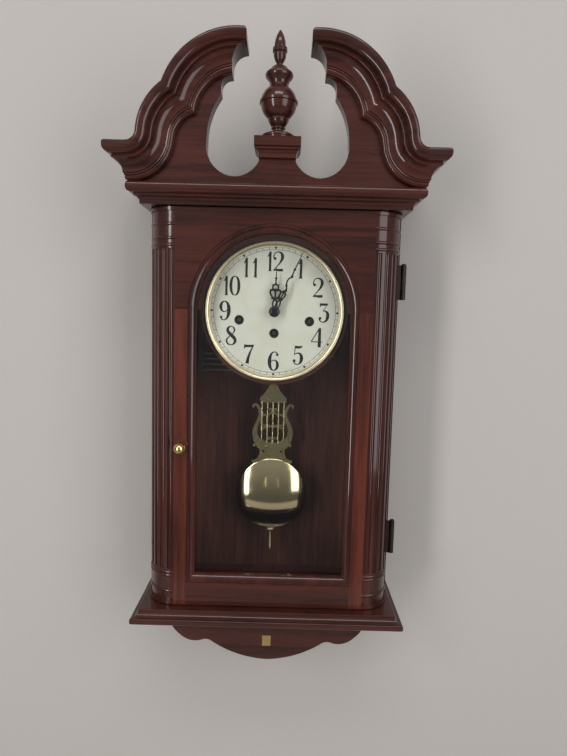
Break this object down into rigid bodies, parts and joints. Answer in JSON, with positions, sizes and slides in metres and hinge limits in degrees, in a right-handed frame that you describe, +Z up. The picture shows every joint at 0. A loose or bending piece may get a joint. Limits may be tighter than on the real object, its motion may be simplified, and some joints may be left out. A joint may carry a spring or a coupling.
{
  "type": "wall clock",
  "caption": "Wall clock in a lacquered wood case with swan-neck pediment, glazed arched door with fluted columns, round dial with hands, and a swinging lyre pendulum.",
  "frame": {"origin": "centre of the keyhole plate's round hole, on the wall plane, 96 mm above the dial centre", "axes": "+X to the right and +Z up as seen from the room, +Y into the wall; the dial faces -Y"},
  "size_m": [0.408, 0.175, 0.8045],
  "materials": {
    "case_wood": "satin lacquer",
    "door_wood": "satin lacquer",
    "panel_wood": "dark stained board",
    "brass": "polished and lacquered",
    "clear_glass": "clear float glass",
    "bronze_paint": "dark bronze",
    "cream_paint": "satin cream paint with black print",
    "black_paint": "black satin",
    "steel": "plain",
    "iron": "black",
    "dark_plastic": "brown"
  },
  "bodies": {
    "case": {"left_side": "case_wood", "right_side": "case_wood", "top_board": "case_wood", "back_panel": "panel_wood", "wall_hanger": "steel", "base_board": "case_wood", "cornice": "case_wood", "pediment_board": "case_wood", "swan_neck_left": "case_wood", "swan_neck_right": "case_wood", "swan_returns": "case_wood", "finial_plinth": "case_wood", "finial": "case_wood", "apron": "case_wood", "apron_plaque": "brass", "case_hinge_leaves": "bronze_paint", "hinge_pins": "bronze_paint", "door_catch": "dark_plastic", "dial_board": "panel_wood", "dial": "cream_paint", "dial_bezel": "brass", "winding_grommets": "bronze_paint", "movement_front_plate": "brass", "movement_back_plate": "brass", "movement_pillars": "brass", "spring_barrels": "brass", "suspension_bracket": "steel", "chime_block": "iron", "chime_rods": "steel", "hammer_bracket": "steel"},
    "door": {"door_stile_right": "door_wood", "door_stile_left": "door_wood", "door_head_rail": "door_wood", "door_bottom_rail": "door_wood", "sight_moulding": "door_wood", "door_glass": "clear_glass", "glass_bead": "door_wood", "column_right": "door_wood", "column_left": "door_wood", "door_knob": "brass", "door_hinge_leaves": "bronze_paint"},
    "minute_hand_and_arbor": {"centre_arbor": "brass", "minute_hand": "black_paint", "hand_nut": "black_paint"},
    "hour_hand_and_wheel": {"hour_wheel": "brass", "hour_hand": "black_paint"},
    "minute_wheel": {"minute_wheel": "brass"},
    "pendulum": {"pendulum_leader": "brass", "pendulum_lyre": "brass", "pendulum_bob": "brass", "rating_nut": "brass"},
    "anchor": {"anchor": "steel"},
    "escape_wheel": {"escape_wheel": "brass"},
    "strike_winder": {"strike_winding_arbor": "steel"},
    "time_winder": {"time_winding_arbor": "steel"},
    "chime_winder": {"chime_winding_arbor": "steel"},
    "hammer_1": {"hammer_1": "brass"},
    "hammer_2": {"hammer_2": "brass"},
    "hammer_3": {"hammer_3": "brass"},
    "hammer_4": {"hammer_4": "brass"}
  },
  "joints": [
    {"name": "door_swing", "type": "hinge", "parent": "case", "child": "door", "pos_m": [0.1676, -0.1013, -0.226], "axis": [0, 0, 1], "range_deg": [0, 110]},
    {"name": "minute_hand_turn", "type": "hinge", "parent": "case", "child": "minute_hand_and_arbor", "pos_m": [0, -0.1, -0.096], "axis": [0, 1, 0], "continuous": true},
    {"name": "hour_hand_turn", "type": "hinge", "parent": "case", "child": "hour_hand_and_wheel", "pos_m": [0, -0.1, -0.096], "axis": [0, 1, 0], "continuous": true},
    {"name": "minute_wheel_turn", "type": "hinge", "parent": "case", "child": "minute_wheel", "pos_m": [0, -0.088, -0.0768], "axis": [0, 1, 0], "continuous": true},
    {"name": "pendulum_swing", "type": "hinge", "parent": "case", "child": "pendulum", "pos_m": [0, -0.036, -0.044], "axis": [0, 1, 0], "range_deg": [-4, 4]},
    {"name": "anchor_rock", "type": "hinge", "parent": "case", "child": "anchor", "pos_m": [0, -0.06, -0.044], "axis": [0, 1, 0], "range_deg": [-4, 4]},
    {"name": "escape_wheel_turn", "type": "hinge", "parent": "case", "child": "escape_wheel", "pos_m": [0, -0.06, -0.069], "axis": [0, 1, 0], "continuous": true},
    {"name": "strike_winding", "type": "hinge", "parent": "case", "child": "strike_winder", "pos_m": [-0.0465, -0.08, -0.1078], "axis": [0, 1, 0], "continuous": true},
    {"name": "time_winding", "type": "hinge", "parent": "case", "child": "time_winder", "pos_m": [0, -0.08, -0.1244], "axis": [0, 1, 0], "continuous": true},
    {"name": "chime_winding", "type": "hinge", "parent": "case", "child": "chime_winder", "pos_m": [0.0465, -0.08, -0.1078], "axis": [0, 1, 0], "continuous": true},
    {"name": "hammer_1_strike", "type": "hinge", "parent": "case", "child": "hammer_1", "pos_m": [-0.056, -0.04, -0.136], "axis": [1, 0, 0], "range_deg": [-14, 0], "stiffness_Nm_per_rad": 0.004, "springref_deg": 28.65},
    {"name": "hammer_2_strike", "type": "hinge", "parent": "case", "child": "hammer_2", "pos_m": [-0.047, -0.04, -0.136], "axis": [1, 0, 0], "range_deg": [-14, 0], "stiffness_Nm_per_rad": 0.004, "springref_deg": 28.65},
    {"name": "hammer_3_strike", "type": "hinge", "parent": "case", "child": "hammer_3", "pos_m": [-0.038, -0.04, -0.136], "axis": [1, 0, 0], "range_deg": [-14, 0], "stiffness_Nm_per_rad": 0.004, "springref_deg": 28.65},
    {"name": "hammer_4_strike", "type": "hinge", "parent": "case", "child": "hammer_4", "pos_m": [-0.029, -0.04, -0.136], "axis": [1, 0, 0], "range_deg": [-14, 0], "stiffness_Nm_per_rad": 0.004, "springref_deg": 28.65}
  ],
  "couplings": [
    {"joint": "hour_hand_turn", "follows": "minute_hand_turn", "ratio": 0.083333},
    {"joint": "minute_wheel_turn", "follows": "minute_hand_turn", "ratio": -0.33333},
    {"joint": "anchor_rock", "follows": "pendulum_swing", "ratio": 1}
  ]
}
